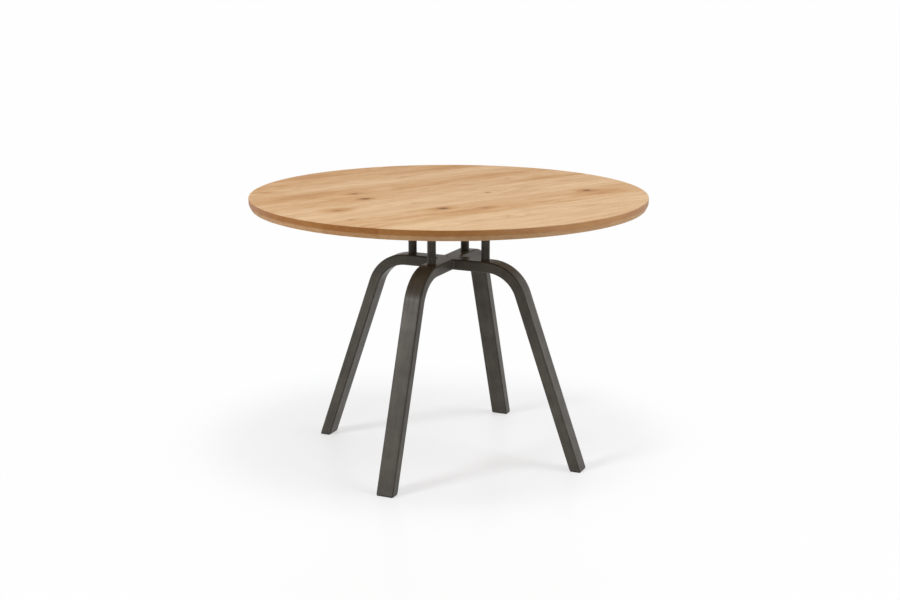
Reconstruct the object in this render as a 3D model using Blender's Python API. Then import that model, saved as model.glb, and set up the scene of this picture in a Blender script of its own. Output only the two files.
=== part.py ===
"""Round dining table: an edge-glued oak top on a welded base of four bent tube legs.

Metres, +Z up. The origin is on the floor, on the axis of the round top. The four legs
point along +X (right), +Y (back), -X (left) and -Y (front).
"""

import math

import bmesh
import bpy
from mathutils import Matrix, Vector

# Overall
TABLE_HEIGHT = 0.750
FIT_GAP = 0.0003            # left between two pieces that touch, are glued or are welded

# Oak top
TOP_DIAMETER = 1.100
TOP_THICKNESS = 0.028
TOP_EASED_EDGE = 0.002      # radius of the eased upper edge
TOP_BEVEL_HEIGHT = 0.012    # undercut along the lower edge
TOP_BEVEL_INSET = 0.006
GRAIN_ANGLE = math.radians(62.5)    # direction of the staves, from +X
# Widths of the staves across the grain, from the front right; together they make up the diameter
STAVE_WIDTHS = (0.130, 0.112, 0.148, 0.186, 0.109, 0.105, 0.105, 0.110, 0.095)

# Rectangular tube of the legs, its wide side facing up on the cross and outward on the leg
TUBE_WIDTH = 0.050
TUBE_DEPTH = 0.030
TUBE_WALL = 0.002
TUBE_CORNER = 0.004         # outer corner radius
BEND_RADIUS = 0.105         # to the middle of the tube
LEG_LEAN = math.radians(19.4)       # from upright
CROSS_DROP = 0.152          # from the underside of the top to the upper face of the cross

# Drain hole in the cross, drilled on the seam between the left and the back leg
DRAIN_DIAMETER = 0.008
DRAIN_OFFSET = 0.014        # from the table's axis

# Round posts between the cross and the top
POST_DIAMETER = 0.024
POST_WALL = 0.0025
POST_CIRCLE = 0.224         # diameter of the circle through the posts
POST_TO_BEND = 0.001        # flat left on the arm between a post and the start of the bend

# Mounting plate on the posts, screwed up into the top
PLATE_THICKNESS = 0.005
PLATE_CORNER = 0.015
PLATE_MARGIN = 0.026        # from the outside of a post to the plate's edge
SCREW_EDGE = 0.020          # from the screw holes to the plate's edge
SCREW_SPREAD = 0.140        # between the two screws on one side of the plate
PLATE_HOLE = 0.009          # wide enough for the oak to move

# Fasteners: button-head machine screw, plain washer and threaded insert
SCREW_DIAMETER = 0.006
SCREW_LENGTH = 0.018
HEAD_DIAMETER = 0.0105
HEAD_HEIGHT = 0.0033
HEAD_CROWN = 0.0055         # diameter of the flat on the domed head
WASHER_DIAMETER = 0.018
WASHER_THICKNESS = 0.0016
INSERT_DIAMETER = 0.010
INSERT_LENGTH = 0.013

# Plastic glides in the feet
GLIDE_THICKNESS = 0.004
GLIDE_INSET = 0.001         # from the outside of the tube
GLIDE_CHAMFER = 0.001
GLIDE_PLUG = 0.022          # depth inside the tube

# Fineness of the round shapes
RIM_SEGMENTS = 120
EASE_STEPS = 2
CORNER_STEPS = 3
BEND_STEPS = 12
POST_SEGMENTS = 24
FASTENER_SEGMENTS = 12
PLATE_CORNER_STEPS = 5
SMOOTH_ANGLE = math.radians(30.0)

# Places that follow from the sizes above
TOP_RADIUS = TOP_DIAMETER / 2
TOP_UNDERSIDE = TABLE_HEIGHT - TOP_THICKNESS
PLATE_TOP = TOP_UNDERSIDE - FIT_GAP
PLATE_BOTTOM = PLATE_TOP - PLATE_THICKNESS
CROSS_TOP = TOP_UNDERSIDE - CROSS_DROP
ARM_HEIGHT = CROSS_TOP - TUBE_DEPTH / 2
POST_RADIUS = POST_DIAMETER / 2
POST_REACH = POST_CIRCLE / 2
BEND_START = POST_REACH + POST_RADIUS + POST_TO_BEND
BEND_TURN = math.pi / 2 - LEG_LEAN
PLATE_HALF = POST_REACH + POST_RADIUS + PLATE_MARGIN
SCREW_REACH = PLATE_HALF - SCREW_EDGE
WASHER_TOP = PLATE_BOTTOM - FIT_GAP
WASHER_BOTTOM = WASHER_TOP - WASHER_THICKNESS
HEAD_TOP = WASHER_BOTTOM - FIT_GAP
CLEAR_BORE = SCREW_DIAMETER + 2 * FIT_GAP
INSERT_BOTTOM = TOP_UNDERSIDE + FIT_GAP
POCKET_TOP = INSERT_BOTTOM + INSERT_LENGTH + FIT_GAP

SIDES = {"right": 0.0, "back": math.pi / 2, "left": math.pi, "front": 1.5 * math.pi}

OAK = ("oiled_oak", (0.61, 0.42, 0.25), 0.55, 0.0)
COATED_STEEL = ("powder_coated_steel", (0.075, 0.070, 0.062), 0.50, 0.3)
ZINC_STEEL = ("zinc_plated_steel", (0.60, 0.60, 0.58), 0.35, 1.0)
BRASS = ("brass", (0.70, 0.52, 0.24), 0.35, 1.0)
BLACK_PLASTIC = ("black_polyethylene", (0.02, 0.02, 0.02), 0.60, 0.0)


def clear_scene():
    for item in list(bpy.data.objects):
        bpy.data.objects.remove(item, do_unlink=True)


def material(finish):
    """A Principled material from its name, linear colour, roughness and metallic value."""
    name, colour, roughness, metallic = finish
    made = bpy.data.materials.get(name)
    if made:
        return made
    made = bpy.data.materials.new(name)
    made.use_nodes = True
    shader = made.node_tree.nodes["Principled BSDF"]
    shader.inputs["Base Color"].default_value = (*colour, 1.0)
    shader.inputs["Roughness"].default_value = roughness
    shader.inputs["Metallic"].default_value = metallic
    return made


def make_object(name, form, finish=None):
    """Turn a closed bmesh into a named object; one without a finish is a cutter."""
    bmesh.ops.recalc_face_normals(form, faces=form.faces)
    mesh = bpy.data.meshes.new(name)
    form.to_mesh(mesh)
    form.free()
    made = bpy.data.objects.new(name, mesh)
    bpy.context.scene.collection.objects.link(made)
    if finish is None:
        made.hide_render = True
        made.display_type = "WIRE"
        return made
    mesh.materials.append(material(finish))
    mesh.shade_smooth()
    mesh.set_sharp_from_angle(angle=SMOOTH_ANGLE)
    return made


def cut(target, cutter):
    """Take the cutter's shape out of the target."""
    tool = target.modifiers.new(cutter.name, "BOOLEAN")
    tool.operation = "DIFFERENCE"
    tool.solver = "EXACT"
    tool.object = cutter


def add_ring(form, points):
    return [form.verts.new(point) for point in points]


def join_rings(form, rings, closed=False):
    """Skin the rings in order; a closed skin also joins the last ring to the first."""
    pairs = list(zip(rings, rings[1:]))
    if closed:
        pairs.append((rings[-1], rings[0]))
    for lower, upper in pairs:
        count = len(lower)
        for i in range(count):
            j = (i + 1) % count
            form.faces.new((lower[i], lower[j], upper[j], upper[i]))


def circle(radius, z, segments, centre=(0.0, 0.0)):
    turns = [2 * math.pi * i / segments for i in range(segments)]
    return [Vector((centre[0] + radius * math.cos(a), centre[1] + radius * math.sin(a), z)) for a in turns]


def add_turned(form, profile, segments, centre=(0.0, 0.0), bored=False):
    """Turn a profile of (radius, height) points; a bored one closes on itself, another is capped."""
    rings = [add_ring(form, circle(radius, z, segments, centre)) for radius, z in profile]
    join_rings(form, rings, closed=bored)
    if not bored:
        form.faces.new(rings[0])
        form.faces.new(rings[-1])


def turned(profile, segments, centre=(0.0, 0.0), bored=False):
    form = bmesh.new()
    add_turned(form, profile, segments, centre, bored)
    return form


def rounded_rectangle(width, depth, corner, steps):
    """Points of a rounded rectangle, with a point in the middle of each wide side."""
    half_w = width / 2 - corner
    half_d = depth / 2 - corner
    corners = ((half_w, half_d, 0.0), (-half_w, half_d, 0.5), (-half_w, -half_d, 1.0), (half_w, -half_d, 1.5))
    points = []
    for index, (x, y, turn) in enumerate(corners):
        for step in range(steps + 1):
            angle = math.pi * (turn + 0.5 * step / steps)
            points.append((x + corner * math.cos(angle), y + corner * math.sin(angle)))
        if index == 0:
            points.append((0.0, depth / 2))
        if index == 2:
            points.append((0.0, -depth / 2))
    return points


# Oak top

def across_grain():
    return Vector((-math.sin(GRAIN_ANGLE), math.cos(GRAIN_ANGLE), 0.0))


def round_top():
    """The whole round top: eased upper edge, upright rim and undercut lower edge."""
    ease = TOP_EASED_EDGE
    profile = []
    for step in range(EASE_STEPS + 1):
        angle = math.pi / 2 * (1 - step / EASE_STEPS)
        radius = TOP_RADIUS - ease + ease * math.cos(angle)
        profile.append((radius, TABLE_HEIGHT - ease + ease * math.sin(angle)))
    profile.append((TOP_RADIUS, TOP_UNDERSIDE + TOP_BEVEL_HEIGHT))
    profile.append((TOP_RADIUS - TOP_BEVEL_INSET, TOP_UNDERSIDE))
    return turned(profile, RIM_SEGMENTS)


def trim(form, offset, side):
    """Saw the form along the grain at an offset and keep what lies beyond it on that side."""
    plane = across_grain() * offset
    sawn = bmesh.ops.bisect_plane(
        form, geom=form.verts[:] + form.edges[:] + form.faces[:],
        plane_co=plane, plane_no=across_grain() * side, clear_inner=True)
    edges = [item for item in sawn["geom_cut"] if isinstance(item, bmesh.types.BMEdge)]
    bmesh.ops.contextual_create(form, geom=edges)


def glue_lines():
    """Where the staves meet, across the grain from the axis; on another diameter all widths follow."""
    follow = TOP_DIAMETER / sum(STAVE_WIDTHS)
    lines = []
    reach = -TOP_RADIUS
    for width in STAVE_WIDTHS[:-1]:
        reach += width * follow
        lines.append(reach)
    return lines


def build_top(pockets):
    lines = glue_lines()
    starts = [None] + lines
    ends = lines + [None]
    for number, (start, end) in enumerate(zip(starts, ends), 1):
        form = round_top()
        if start is not None:
            trim(form, start + FIT_GAP / 2, 1)
        if end is not None:
            trim(form, end - FIT_GAP / 2, -1)
        stave = make_object(f"top_stave_{number}", form, OAK)
        cut(stave, pockets)


# Bent legs

def leg_outline(inset):
    """Section of the tube drawn in by an inset, as (across the leg, outward) points."""
    corner = max(TUBE_CORNER - inset, FIT_GAP)
    return rounded_rectangle(TUBE_WIDTH - 2 * inset, TUBE_DEPTH - 2 * inset, corner, CORNER_STEPS)


def bend_point(across, outward, turn):
    """A point of the section after the bend has turned by an angle; the leg points along +X."""
    reach = BEND_START + (BEND_RADIUS + outward) * math.sin(turn)
    height = ARM_HEIGHT - BEND_RADIUS + (BEND_RADIUS + outward) * math.cos(turn)
    return Vector((reach, across, height))


def foot_point(across, outward, height):
    """A point of the section carried down the straight leg to a level cut at a height."""
    start = bend_point(across, outward, BEND_TURN)
    drop = start.z - height
    return Vector((start.x + drop * math.tan(LEG_LEAN), across, height))


def leg_rings(form, inset):
    """Rings along the tube, from the mitred tip on the cross round the bend to the foot."""
    outline = leg_outline(inset)
    seam = FIT_GAP / math.sqrt(2)
    rings = [[Vector((abs(a) + seam, a, ARM_HEIGHT + o)) for a, o in outline]]
    for step in range(BEND_STEPS + 1):
        turn = BEND_TURN * step / BEND_STEPS
        rings.append([bend_point(a, o, turn) for a, o in outline])
    rings.append([foot_point(a, o, GLIDE_THICKNESS + FIT_GAP) for a, o in outline])
    return [add_ring(form, ring) for ring in rings]


def turn_to(form, angle):
    form.transform(Matrix.Rotation(angle, 4, "Z"))


def build_legs(drain):
    for side, angle in SIDES.items():
        form = bmesh.new()
        outer = leg_rings(form, 0.0)
        inner = leg_rings(form, TUBE_WALL)
        join_rings(form, outer + inner[::-1], closed=True)
        turn_to(form, angle)
        leg = make_object(f"leg_{side}", form, COATED_STEEL)
        if side in ("left", "back"):
            cut(leg, drain)


def drain_cutter():
    reach = DRAIN_OFFSET / math.sqrt(2)
    profile = [(DRAIN_DIAMETER / 2, CROSS_TOP - 2 * TUBE_WALL), (DRAIN_DIAMETER / 2, CROSS_TOP + TUBE_WALL)]
    return make_object("drain_cutter", turned(profile, FASTENER_SEGMENTS, (-reach, reach)))


def build_glides():
    """A plug inside the foot of each leg, with a pad that stands on the floor."""
    pad = leg_outline(GLIDE_INSET)
    sole = leg_outline(GLIDE_INSET + GLIDE_CHAMFER)
    plug = leg_outline(TUBE_WALL + FIT_GAP)
    levels = (
        (sole, 0.0), (pad, GLIDE_CHAMFER), (pad, GLIDE_THICKNESS),
        (plug, GLIDE_THICKNESS), (plug, GLIDE_THICKNESS + GLIDE_PLUG))
    for side, angle in SIDES.items():
        form = bmesh.new()
        rings = [add_ring(form, [foot_point(a, o, z) for a, o in outline]) for outline, z in levels]
        join_rings(form, rings)
        form.faces.new(rings[0])
        form.faces.new(rings[-1])
        turn_to(form, angle)
        make_object(f"glide_{side}", form, BLACK_PLASTIC)


# Posts, mounting plate and fasteners

def build_posts():
    foot = CROSS_TOP + FIT_GAP
    head = PLATE_BOTTOM - FIT_GAP
    bore = POST_RADIUS - POST_WALL
    profile = [(POST_RADIUS, foot), (POST_RADIUS, head), (bore, head), (bore, foot)]
    for side, angle in SIDES.items():
        form = turned(profile, POST_SEGMENTS, (POST_REACH, 0.0), bored=True)
        turn_to(form, angle)
        make_object(f"post_{side}", form, COATED_STEEL)


def screw_places():
    """Two screws on each side of the plate, clear of the post in the middle of that side."""
    places = []
    for angle in SIDES.values():
        for sign in (-1, 1):
            place = Vector((SCREW_REACH, sign * SCREW_SPREAD / 2, 0.0))
            place.rotate(Matrix.Rotation(angle, 3, "Z"))
            places.append((place.x, place.y))
    return places


def column_cutter(name, diameter, bottom, top):
    """Upright round cutters at every screw."""
    form = bmesh.new()
    for place in screw_places():
        add_turned(form, [(diameter / 2, bottom), (diameter / 2, top)], FASTENER_SEGMENTS, place)
    return make_object(name, form)


def build_plate():
    form = bmesh.new()
    outline = rounded_rectangle(2 * PLATE_HALF, 2 * PLATE_HALF, PLATE_CORNER, PLATE_CORNER_STEPS)
    rings = [add_ring(form, [Vector((x, y, z)) for x, y in outline]) for z in (PLATE_BOTTOM, PLATE_TOP)]
    join_rings(form, rings)
    form.faces.new(rings[0])
    form.faces.new(rings[1])
    plate = make_object("mounting_plate", form, COATED_STEEL)
    holes = column_cutter(
        "plate_holes", PLATE_HOLE, PLATE_BOTTOM - PLATE_THICKNESS, PLATE_TOP + PLATE_THICKNESS)
    cut(plate, holes)


def build_fasteners():
    shank = SCREW_DIAMETER / 2
    screw = [
        (shank, HEAD_TOP + SCREW_LENGTH), (shank, HEAD_TOP), (HEAD_DIAMETER / 2, HEAD_TOP),
        (HEAD_DIAMETER / 2, HEAD_TOP - HEAD_HEIGHT / 3), (HEAD_CROWN / 2, HEAD_TOP - HEAD_HEIGHT)]
    bore = CLEAR_BORE / 2
    washer = [
        (WASHER_DIAMETER / 2, WASHER_BOTTOM), (WASHER_DIAMETER / 2, WASHER_TOP),
        (bore, WASHER_TOP), (bore, WASHER_BOTTOM)]
    insert = [
        (INSERT_DIAMETER / 2, INSERT_BOTTOM), (INSERT_DIAMETER / 2, INSERT_BOTTOM + INSERT_LENGTH),
        (bore, INSERT_BOTTOM + INSERT_LENGTH), (bore, INSERT_BOTTOM)]
    for number, place in enumerate(screw_places(), 1):
        make_object(f"screw_{number}", turned(screw, FASTENER_SEGMENTS, place), ZINC_STEEL)
        make_object(f"washer_{number}", turned(washer, FASTENER_SEGMENTS, place, bored=True), ZINC_STEEL)
        make_object(f"insert_{number}", turned(insert, FASTENER_SEGMENTS, place, bored=True), BRASS)


def main():
    clear_scene()
    pocket = INSERT_DIAMETER + 2 * FIT_GAP
    build_top(column_cutter("insert_pockets", pocket, TOP_UNDERSIDE - INSERT_LENGTH, POCKET_TOP))
    build_legs(drain_cutter())
    build_glides()
    build_posts()
    build_plate()
    build_fasteners()


main()
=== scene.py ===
"""Dresses the packed round table with oak staves, a welded tube base, its hardware and a plain stage.

Metres, +Z up, in the frame of the packed part: the legs point along +X, +Y, -X and -Y.
"""

import math
from functools import partial

import bmesh
import bpy
from bpy.props import FloatProperty, FloatVectorProperty, PointerProperty
from mathutils import Matrix, Vector


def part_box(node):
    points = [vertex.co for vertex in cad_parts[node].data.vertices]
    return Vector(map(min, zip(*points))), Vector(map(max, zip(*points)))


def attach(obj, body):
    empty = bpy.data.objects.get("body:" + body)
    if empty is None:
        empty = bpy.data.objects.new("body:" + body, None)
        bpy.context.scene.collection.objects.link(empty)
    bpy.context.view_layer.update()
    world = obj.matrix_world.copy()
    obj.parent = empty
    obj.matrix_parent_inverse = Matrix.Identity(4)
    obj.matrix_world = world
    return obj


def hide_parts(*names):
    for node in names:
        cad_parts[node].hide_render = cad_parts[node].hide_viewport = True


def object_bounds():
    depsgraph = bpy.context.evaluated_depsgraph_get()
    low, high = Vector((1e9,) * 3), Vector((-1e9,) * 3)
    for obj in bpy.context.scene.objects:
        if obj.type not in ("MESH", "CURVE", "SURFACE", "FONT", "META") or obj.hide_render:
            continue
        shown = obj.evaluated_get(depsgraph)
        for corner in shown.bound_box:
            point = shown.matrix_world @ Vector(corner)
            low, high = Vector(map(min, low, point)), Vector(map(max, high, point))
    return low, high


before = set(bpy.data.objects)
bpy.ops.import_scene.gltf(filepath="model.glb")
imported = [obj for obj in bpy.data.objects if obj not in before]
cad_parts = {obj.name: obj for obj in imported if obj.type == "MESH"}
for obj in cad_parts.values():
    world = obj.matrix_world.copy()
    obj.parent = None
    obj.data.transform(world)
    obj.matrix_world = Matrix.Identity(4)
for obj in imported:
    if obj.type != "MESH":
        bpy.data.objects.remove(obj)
CAD_LOW, CAD_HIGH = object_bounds()

bl_info = {
    "name": "Round oak table",
    "version": (1, 0, 0),
    "blender": (4, 5, 0),
    "location": "3D View > Sidebar > Round table",
    "description": "Makes the oak top, the welded tube base, the hardware and the stage of a round table",
    "category": "Add Mesh",
}

SIDES = {"right": 0.0, "back": math.pi / 2, "left": math.pi, "front": 1.5 * math.pi}
STAVE_COUNT = 9
FASTENER_COUNT = 8

# Gap that the packed part leaves between pieces that touch
CLEARANCE = 0.0003
# How far a cutter sticks out of what it cuts
CUTTER_EXCESS = 0.01
# Sharper edges than this stay sharp in the shading
SMOOTH_ANGLE = math.radians(30.0)

# Places read from the packed part
TABLE_TOP = CAD_HIGH.z
TOP_RADIUS = (CAD_HIGH.x - CAD_LOW.x) / 2
TOP_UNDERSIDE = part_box("top_stave_4")[0].z
LEG_LOW, LEG_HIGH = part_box("leg_right")
TUBE_WIDTH = LEG_HIGH.y - LEG_LOW.y
CROSS_TOP = LEG_HIGH.z
FOOT = LEG_LOW.z
POST_LOW, POST_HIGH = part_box("post_right")
POST_RADIUS = (POST_HIGH.y - POST_LOW.y) / 2
POST_REACH = POST_HIGH.x - POST_RADIUS
PLATE_LOW, PLATE_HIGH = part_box("mounting_plate")
GLIDE_LOW, GLIDE_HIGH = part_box("glide_right")
SCREW_LOW, SCREW_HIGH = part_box("screw_1")
WASHER_LOW, WASHER_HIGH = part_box("washer_1")
INSERT_LOW, INSERT_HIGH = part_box("insert_1")
SCREW_REACH = (SCREW_LOW.x + SCREW_HIGH.x) / 2
SCREW_SPREAD = abs(SCREW_LOW.y + SCREW_HIGH.y)

# Oak boards in order across the grain: share of brown, which is in part painted shade darker towards the back
# left, pith across and pith below the upper face
BOARDS = (
    (0.27, -0.520, 0.090),
    (0.24, -0.372, 0.140),
    (0.43, -0.262, 0.075),
    (0.30, -0.050, 0.165),
    (0.41, 0.105, 0.120),
    (0.46, 0.160, 0.060),
    (0.35, 0.330, 0.130),
    (0.48, 0.385, 0.070),
    (0.57, 0.530, 0.110),
)
# Knots on the boards: along the grain, across it, radius, darkness and reach of the brown round it
KNOTS = (
    (-0.235, 0.064, 0.0105, 0.85, 3.0),
    (-0.212, 0.152, 0.0095, 0.80, 3.5),
    (-0.398, -0.040, 0.0120, 0.45, 4.0),
    (-0.162, -0.184, 0.0125, 0.95, 3.2),
    (-0.066, -0.245, 0.0070, 0.50, 4.5),
    (0.094, -0.054, 0.0065, 0.75, 3.0),
    (0.336, -0.200, 0.0110, 1.00, 3.6),
    (-0.175, -0.070, 0.0040, 0.40, 3.0),
    (-0.440, -0.172, 0.0070, 0.40, 3.5),
)
# Brown and pale streaks: along, across, half length, half width and share of brown, pale where negative
STREAKS = (
    (-0.340, 0.190, 0.220, 0.055, 0.27),
    (-0.280, 0.085, 0.200, 0.060, 0.11),
    (-0.440, 0.290, 0.120, 0.050, 0.11),
    (0.000, -0.360, 0.120, 0.050, 0.08),
    (0.320, 0.178, 0.200, 0.035, 0.20),
    (0.050, 0.150, 0.350, 0.022, 0.10),
    (0.420, 0.048, 0.280, 0.026, 0.28),
    (-0.400, -0.030, 0.110, 0.045, 0.22),
    (-0.120, -0.255, 0.130, 0.040, 0.22),
    (0.340, -0.235, 0.120, 0.050, 0.22),
    (-0.130, 0.480, 0.120, 0.040, 0.18),
    (0.330, 0.395, 0.170, 0.050, 0.20),
    (-0.400, 0.325, 0.050, 0.030, 0.25),
    (-0.050, -0.400, 0.110, 0.012, 0.20),
    (0.160, -0.386, 0.070, 0.012, 0.16),
    (0.170, -0.300, 0.080, 0.012, 0.14),
    (-0.300, -0.235, 0.120, 0.020, 0.12),
    (-0.080, 0.275, 0.220, 0.030, -0.14),
    (0.300, 0.300, 0.220, 0.035, -0.08),
    (0.380, -0.095, 0.200, 0.035, -0.10),
    (-0.330, -0.360, 0.150, 0.050, -0.08),
)

# Stage: the floor, where the soft shadow has its middle, and what the lamps point at
FLOOR_RADIUS = 60.0
SHADOW_CENTRE = (-0.086, 0.093, 0.0)
LAMP_AIM = Vector((0.0, 0.0, 0.5))
# Overhead lamps: how far each hangs to the right and away from the camera for one metre up
OVERHEAD_LAMPS = {"overhead_left": (-0.10, -0.13), "overhead_right": (0.16, -0.07)}


# Settings

def linear(code):
    """Linear colour from an sRGB hex value."""
    parts = [int(code[i:i + 2], 16) / 255 for i in (1, 3, 5)]
    return tuple(p / 12.92 if p <= 0.04045 else ((p + 0.055) / 1.055) ** 2.4 for p in parts)


def number_setting(name, description, default, **kind):
    """A number that a user can change; kind gives its unit or subtype."""
    return FloatProperty(name=name, description=description, default=default, **kind)


def length_setting(name, description, metres):
    """A length that a user can change."""
    return number_setting(name, description, metres, unit="LENGTH")


def angle_setting(name, description, degrees):
    """An angle that a user can change."""
    return number_setting(name, description, math.radians(degrees), subtype="ANGLE")


def share_setting(name, description, share):
    """A share from 0 to 1 that a user can change."""
    return number_setting(name, description, share, subtype="FACTOR")


def colour_setting(name, description, code):
    """A colour that a user can change, from its sRGB hex value."""
    return FloatVectorProperty(name=name, description=description, default=linear(code), subtype="COLOR")


def place_setting(name, description, place):
    """A place that a user can change."""
    return FloatVectorProperty(name=name, description=description, default=place, subtype="TRANSLATION")


class OakTopSettings(bpy.types.PropertyGroup):
    """Sizes and colours of the oak top."""
    grain_angle: angle_setting("Grain direction", "Direction of the staves, from +X", 62.5)
    eased_edge: length_setting("Eased edge", "Radius of the upper edge", 0.002)
    bevel_height: length_setting("Bevel height", "Height of the undercut along the lower edge", 0.012)
    bevel_inset: length_setting("Bevel inset", "How far the undercut goes in", 0.006)
    arris: length_setting("Sanded arris", "Radius of the lower edge", 0.001)
    knuckle: length_setting("Sanded knuckle", "Radius where the rim turns into the undercut", 0.012)
    ring_width: length_setting("Ring width", "Width of one growth ring", 0.0046)
    pale: colour_setting("Pale oak", "Lightest wood", "#E2C196")
    straw: colour_setting("Straw oak", "Usual wood", "#D4AE83")
    tan: colour_setting("Tan oak", "Darker boards", "#C3935F")
    brown: colour_setting("Brown oak", "Heartwood streaks", "#A77541")
    knot: colour_setting("Knot", "Core of a knot", "#7A4C20")
    check: colour_setting("Check", "Drying checks in a knot", "#3A220E")
    pore: colour_setting("Pore", "Open pores", "#8A6039")
    rim_end: colour_setting("Rim at fibre ends", "Tint of the sawn rim, where the oil sinks in", "#BC9A6B")
    # Lighter rim tint, in part painted light from the side
    rim_side_and_painted_light: colour_setting("Rim along fibres", "Tint where the fibres run along the rim", "#E5CDB4")


class TubeBaseSettings(bpy.types.PropertyGroup):
    """Sizes and colours of the welded base."""
    tube_depth: length_setting("Tube depth", "Narrow side of the tube", 0.030)
    wall: length_setting("Tube wall", "Thickness of the tube's wall", 0.002)
    corner: length_setting("Tube corner", "Outer corner radius of the tube", 0.004)
    bend_radius: length_setting("Bend radius", "To the middle of the tube", 0.105)
    bend_margin: length_setting("Post to bend", "Flat left between a post and the bend", 0.001)
    lean: angle_setting("Lean", "Lean of a leg from upright", 19.4)
    post_wall: length_setting("Post wall", "Thickness of a post's wall", 0.0025)
    weld: length_setting("Post weld", "Leg of the fillet weld round a post", 0.003)
    corner_weld: length_setting("Corner weld", "Leg of the fillet weld between two arms", 0.0075)
    weld_sink: length_setting("Weld sink", "How deep a corner weld bites into the arms", 0.0004)
    drain_diameter: length_setting("Drain hole", "Diameter of the hole on the cross", 0.008)
    drain_offset: length_setting("Drain offset", "From the axis to the drain hole", 0.014)
    coat: colour_setting("Coat", "Main colour of the powder coat", "#5E5A52")
    coat_shade: colour_setting("Coat shade", "Darker clouds in the coat", "#484540")
    # Painted shade: the dark colour laid on the tube corners, as a dark reflection, and on the posts
    coat_painted_shade: colour_setting("Thin coat", "Corners, where the coat pulls thin", "#322F2A")


class HardwareSettings(bpy.types.PropertyGroup):
    """Sizes and colours of the fasteners and glides."""
    head_flat: length_setting("Head crown", "Diameter of the flat on the domed head", 0.0055)
    shank: length_setting("Shank", "Diameter of the screw", 0.006)
    socket: length_setting("Hex socket", "Width across the flats of the socket", 0.004)
    socket_depth: length_setting("Socket depth", "Depth of the hex socket", 0.0021)
    plate_corner: length_setting("Plate corner", "Corner radius of the mounting plate", 0.015)
    plate_edge: length_setting("Plate edge", "Width of the plate's broken edges", 0.0006)
    plate_hole: length_setting("Plate hole", "Screw hole, wide enough for the oak to move", 0.009)
    glide_inset: length_setting("Glide inset", "From the outside of the tube", 0.001)
    glide_round: length_setting("Glide rounding", "Rounding of the sole", 0.001)
    glide_lead: length_setting("Glide lead", "Bevel that leads the plug into the tube", 0.001)
    zinc: colour_setting("Zinc", "Plated steel", "#B4B8BA")
    brass: colour_setting("Brass", "Turned brass", "#C69B52")
    glide: colour_setting("Glide", "Moulded plastic", "#111110")


class StageSettings(bpy.types.PropertyGroup):
    """Camera, light and floor."""
    camera_place: place_setting("Camera place", "Where the camera stands", (1.673, -3.662, 1.4105))
    camera_pitch: angle_setting("Camera pitch", "Turn about the camera's own X", 76.527)
    camera_heading: angle_setting("Camera heading", "Turn about Z", 24.50)
    sensor: number_setting("Sensor", "Width of the camera's sensor in millimetres", 36.0)
    lens: number_setting("Lens", "Focal length in millimetres", 58.77)
    zenith: number_setting("Room overhead", "Strength of the room's light from straight above", 0.06)
    horizon: number_setting("Room at the side", "Strength of the room's light at eye level", 0.12)
    left_card: number_setting("Left card", "Strength of the grey card at the left", 0.42)
    right_card: number_setting("Right card", "Strength of the white card at the right", 0.90)
    backdrop: number_setting("Backdrop", "Strength of the white backdrop behind the table", 1.0)
    overhead: number_setting("Overhead lamps", "Irradiance of each of the two lamps overhead", 0.235)
    overhead_spread: angle_setting("Overhead size", "Angle that a lamp fills, which softens its shadow", 13.0)
    front_place: place_setting("Front softbox place", "At the front left", (-2.08, -3.34, 2.74))
    front_power: number_setting("Front softbox", "Power of the front softbox", 106.0, subtype="POWER")
    front_width: length_setting("Front softbox width", "From side to side", 1.2)
    front_height: length_setting("Front softbox height", "From top to bottom", 1.5)
    right_place: place_setting("Right softbox place", "At the right", (3.10, 0.36, 3.10))
    right_power: number_setting("Right softbox", "Power of the right softbox", 59.0, subtype="POWER")
    right_width: length_setting("Right softbox width", "From side to side", 2.0)
    right_height: length_setting("Right softbox height", "From top to bottom", 2.0)
    floor: colour_setting("Floor", "Colour of the floor", "#F9FBFF")
    floor_bounce: share_setting("Floor bounce", "Share of the light thrown back on the table", 0.66)
    floor_sheen: share_setting("Floor sheen", "How much the satin floor mirrors the feet", 0.04)
    shadow: share_setting("Shadow", "How much of the shadow shows on the floor", 0.43)
    shadow_reach: length_setting("Shadow reach", "Where the shadow has faded away, from its middle", 0.84)


# Mesh helpers

def add_ring(form, points):
    """Add points to a form and give back its new vertices."""
    return [form.verts.new(point) for point in points]


def skin(form, rings, closed=False):
    """Skin the rings in order; a closed skin joins the last ring to the first, another one is capped."""
    pairs = list(zip(rings, rings[1:]))
    if closed:
        pairs.append((rings[-1], rings[0]))
    for lower, upper in pairs:
        count = len(lower)
        for i in range(count):
            j = (i + 1) % count
            form.faces.new((lower[i], lower[j], upper[j], upper[i]))
    if not closed:
        form.faces.new(rings[0])
        form.faces.new(rings[-1])


def turns(sides):
    """Angles of the points of a ring with that many sides."""
    return [2 * math.pi * side / sides for side in range(sides)]


def level_ring(reaches, z, centre=(0.0, 0.0)):
    """Points round a centre at one height, each at its own distance."""
    x, y = centre[:2]
    spokes = zip(reaches, turns(len(reaches)))
    return [Vector((x + reach * math.cos(angle), y + reach * math.sin(angle), z)) for reach, angle in spokes]


def circle(radius, z, sides, centre=(0.0, 0.0)):
    """Points of a level circle."""
    return level_ring([radius] * sides, z, centre)


def turned(profile, sides, centre=(0.0, 0.0), bored=False):
    """Turn a profile of (radius, height) points; a bored one closes on itself, another is capped."""
    form = bmesh.new()
    rings = [add_ring(form, circle(radius, z, sides, centre)) for radius, z in profile]
    skin(form, rings, closed=bored)
    return form


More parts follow.
